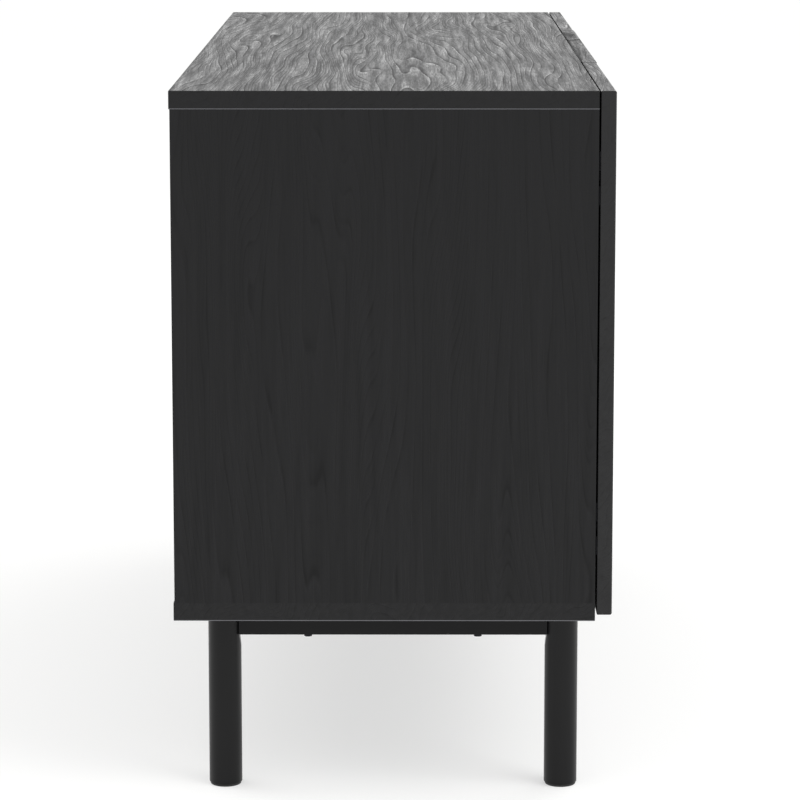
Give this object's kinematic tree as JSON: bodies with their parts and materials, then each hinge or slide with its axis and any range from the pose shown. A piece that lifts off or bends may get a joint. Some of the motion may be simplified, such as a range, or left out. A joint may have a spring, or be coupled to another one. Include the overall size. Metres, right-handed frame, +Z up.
{
  "type": "dresser with drawers",
  "caption": "Low black wood-grain dresser on round legs: a bank of drawers with finger channels between two hinged doors with shelves behind.",
  "frame": {"origin": "on the floor, under the middle of the dresser's length and depth", "axes": "+X along the length to the right as seen from the front, +Y to the back, +Z up; the fronts face -Y"},
  "size_m": [1.2, 0.43, 0.705],
  "materials": {
    "case_laminate": "black embossed wood-grain laminate, satin",
    "front_laminate": "black embossed wood-grain laminate, satin",
    "inner_laminate": "black laminate, plain matt inside face",
    "back_board": "black printed hardboard, matt",
    "leg_wood": "solid wood, stained and lacquered black",
    "drawer_board": "black foil-wrapped board",
    "drawer_floor": "black printed hardboard, matt",
    "dowel_wood": "plain beech",
    "glide_plastic": "black moulded plastic",
    "catch_plastic": "black moulded plastic",
    "slide_steel": "zinc-plated rolled steel",
    "cage_steel": "pressed steel ball cage",
    "plated_steel": "nickel-plated steel",
    "cam_zinc": "die-cast zinc"
  },
  "bodies": {
    "case": {"top_panel": "case_laminate", "bottom_panel": "case_laminate", "back_panel": "back_board", "left_side_panel": "case_laminate", "right_side_panel": "case_laminate", "left_divider": "inner_laminate", "right_divider": "inner_laminate", "lower_drawer_rail": "inner_laminate", "upper_drawer_rail": "inner_laminate", "left_shelf": "inner_laminate", "right_shelf": "inner_laminate", "shelf_pins": "plated_steel", "cabinet_slides": "slide_steel", "left_hinge_arms": "plated_steel", "right_hinge_arms": "plated_steel", "catch_magnets": "catch_plastic", "cam_locks": "cam_zinc", "cam_bolts": "plated_steel", "front_left_leg": "leg_wood", "back_left_leg": "leg_wood", "front_right_leg": "leg_wood", "back_right_leg": "leg_wood", "left_leg_rail": "leg_wood", "right_leg_rail": "leg_wood", "glides": "glide_plastic", "rail_screws": "plated_steel", "leg_bolts": "plated_steel", "rail_dowels": "dowel_wood"},
    "left_door": {"left_door": "front_laminate", "left_hinge_cups": "plated_steel", "left_hinge_pins": "plated_steel", "left_strike_plate": "plated_steel"},
    "right_door": {"right_door": "front_laminate", "right_hinge_cups": "plated_steel", "right_hinge_pins": "plated_steel", "right_strike_plate": "plated_steel"},
    "drawer_1": {"drawer_1_front": "front_laminate", "drawer_1_left_side": "drawer_board", "drawer_1_right_side": "drawer_board", "drawer_1_back": "drawer_board", "drawer_1_bottom": "drawer_floor", "drawer_1_slides": "slide_steel", "drawer_1_fittings": "cam_zinc"},
    "drawer_1_cages": {"drawer_1_ball_cages": "cage_steel"},
    "drawer_2": {"drawer_2_front": "front_laminate", "drawer_2_left_side": "drawer_board", "drawer_2_right_side": "drawer_board", "drawer_2_back": "drawer_board", "drawer_2_bottom": "drawer_floor", "drawer_2_slides": "slide_steel", "drawer_2_fittings": "cam_zinc"},
    "drawer_2_cages": {"drawer_2_ball_cages": "cage_steel"},
    "drawer_3": {"drawer_3_front": "front_laminate", "drawer_3_left_side": "drawer_board", "drawer_3_right_side": "drawer_board", "drawer_3_back": "drawer_board", "drawer_3_bottom": "drawer_floor", "drawer_3_slides": "slide_steel", "drawer_3_fittings": "cam_zinc"},
    "drawer_3_cages": {"drawer_3_ball_cages": "cage_steel"}
  },
  "joints": [
    {"name": "left_door_swing", "type": "hinge", "parent": "case", "child": "left_door", "pos_m": [-0.5945, -0.2085, 0.4], "axis": [0, 0, -1], "range_deg": [0, 95]},
    {"name": "right_door_swing", "type": "hinge", "parent": "case", "child": "right_door", "pos_m": [0.5945, -0.2085, 0.4], "axis": [0, 0, 1], "range_deg": [0, 95]},
    {"name": "drawer_1_slide", "type": "slide", "parent": "case", "child": "drawer_1", "axis": [0, -1, 0], "range_m": [0, 0.26]},
    {"name": "drawer_1_cage_roll", "type": "slide", "parent": "case", "child": "drawer_1_cages", "axis": [0, -1, 0], "range_m": [0, 0.13]},
    {"name": "drawer_2_slide", "type": "slide", "parent": "case", "child": "drawer_2", "axis": [0, -1, 0], "range_m": [0, 0.26]},
    {"name": "drawer_2_cage_roll", "type": "slide", "parent": "case", "child": "drawer_2_cages", "axis": [0, -1, 0], "range_m": [0, 0.13]},
    {"name": "drawer_3_slide", "type": "slide", "parent": "case", "child": "drawer_3", "axis": [0, -1, 0], "range_m": [0, 0.26]},
    {"name": "drawer_3_cage_roll", "type": "slide", "parent": "case", "child": "drawer_3_cages", "axis": [0, -1, 0], "range_m": [0, 0.13]}
  ],
  "couplings": [
    {"joint": "drawer_1_cage_roll", "follows": "drawer_1_slide", "ratio": 0.5},
    {"joint": "drawer_2_cage_roll", "follows": "drawer_2_slide", "ratio": 0.5},
    {"joint": "drawer_3_cage_roll", "follows": "drawer_3_slide", "ratio": 0.5}
  ]
}
